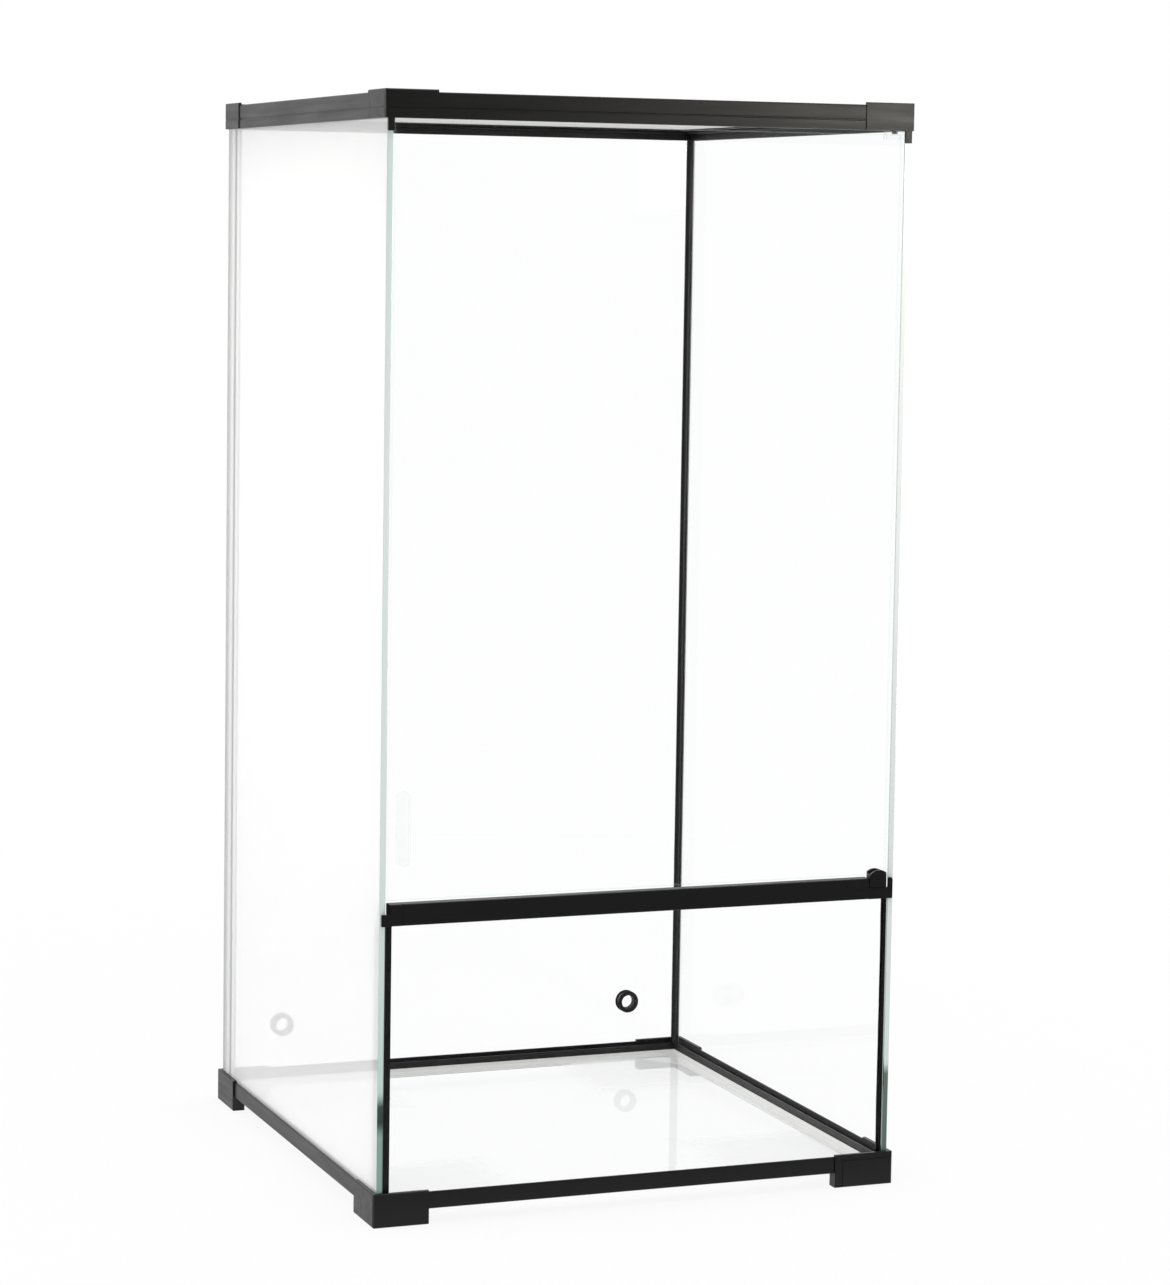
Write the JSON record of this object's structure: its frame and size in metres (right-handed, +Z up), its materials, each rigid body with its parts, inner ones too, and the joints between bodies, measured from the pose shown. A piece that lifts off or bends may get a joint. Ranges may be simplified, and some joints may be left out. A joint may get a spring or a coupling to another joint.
{
  "type": "reptile terrarium",
  "caption": "Tall glass reptile terrarium with a hinged front door above a fixed sill pane, a lift-out mesh lid, moulded feet and rear cable ports.",
  "frame": {"origin": "centre of the footprint, on the floor plane under the four feet", "axes": "+X to the right, +Y to the back, +Z up; the door and the fixed lower pane face -Y"},
  "size_m": [0.458, 0.458, 0.9],
  "materials": {
    "black_plastic": "moulded black plastic with a faint satin sheen",
    "clear_glass": "clear float glass with polished green edges",
    "black_rubber": "black silicone rubber",
    "clear_plastic": "clear moulded plastic",
    "mesh_metal": "fine woven wire mesh"
  },
  "bodies": {
    "tank": {"base_rail_front": "black_plastic", "base_rail_back": "black_plastic", "base_rail_left": "black_plastic", "base_rail_right": "black_plastic", "foot_front_left": "black_plastic", "foot_front_right": "black_plastic", "foot_back_left": "black_plastic", "foot_back_right": "black_plastic", "floor_glass": "clear_glass", "side_glass_left": "clear_glass", "side_glass_right": "clear_glass", "back_glass": "clear_glass", "front_lower_glass": "clear_glass", "seal_back_left": "black_rubber", "seal_back_right": "black_rubber", "seal_front_left": "black_rubber", "seal_front_right": "black_rubber", "port_grommet_left": "black_rubber", "port_grommet_right": "black_rubber", "sill_rail": "black_plastic", "sill_end_left": "black_plastic", "sill_hinge_block": "black_plastic", "top_rail_front": "black_plastic", "top_rail_back": "black_plastic", "top_rail_left": "black_plastic", "top_rail_right": "black_plastic", "top_corner_front_left": "black_plastic", "top_corner_front_right": "black_plastic", "top_corner_back_left": "black_plastic", "top_corner_back_right": "black_plastic"},
    "door": {"door_glass": "clear_glass", "door_shoe_lower": "black_plastic", "door_shoe_upper": "clear_plastic", "door_pull": "clear_plastic"},
    "lid": {"lid_frame": "black_plastic", "lid_mesh": "mesh_metal", "lid_retainer": "black_rubber"}
  },
  "joints": [
    {"name": "door_hinge", "type": "hinge", "parent": "tank", "child": "door", "pos_m": [0.212, -0.2225, 0.56], "axis": [0, 0, 1], "range_deg": [0, 105]},
    {"name": "lid_lift", "type": "slide", "parent": "tank", "child": "lid", "axis": [0, 0, 1], "range_m": [0, 0.15]}
  ]
}
